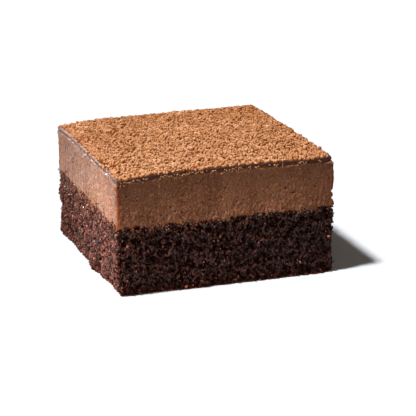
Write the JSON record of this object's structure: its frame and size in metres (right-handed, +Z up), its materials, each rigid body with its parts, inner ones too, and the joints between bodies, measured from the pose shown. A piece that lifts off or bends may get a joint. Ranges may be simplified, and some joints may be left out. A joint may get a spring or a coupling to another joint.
{
  "type": "chocolate mousse cake square",
  "caption": "Square cut portion of layered chocolate cake: dark cake below, a thick light mousse, a thin dark glaze and a cocoa-dusted top.",
  "frame": {"origin": "under the middle of the portion, on the surface that it stands on", "axes": "+Z up through the layers; -Y is the side that the picture shows in front, +X is to its right"},
  "size_m": [0.0716, 0.072, 0.038],
  "materials": {
    "chocolate_cake": "matt, open chocolate crumb",
    "chocolate_mousse": "smooth satin mousse with knife marks",
    "chocolate_glaze": "thin set chocolate glaze, soft gloss",
    "cocoa_powder": "dry clumped cocoa powder"
  },
  "bodies": {
    "root": {"cake_base": "chocolate_cake", "mousse_layer": "chocolate_mousse", "glaze_layer": "chocolate_glaze", "cocoa_dusting": "cocoa_powder"}
  },
  "joints": []
}
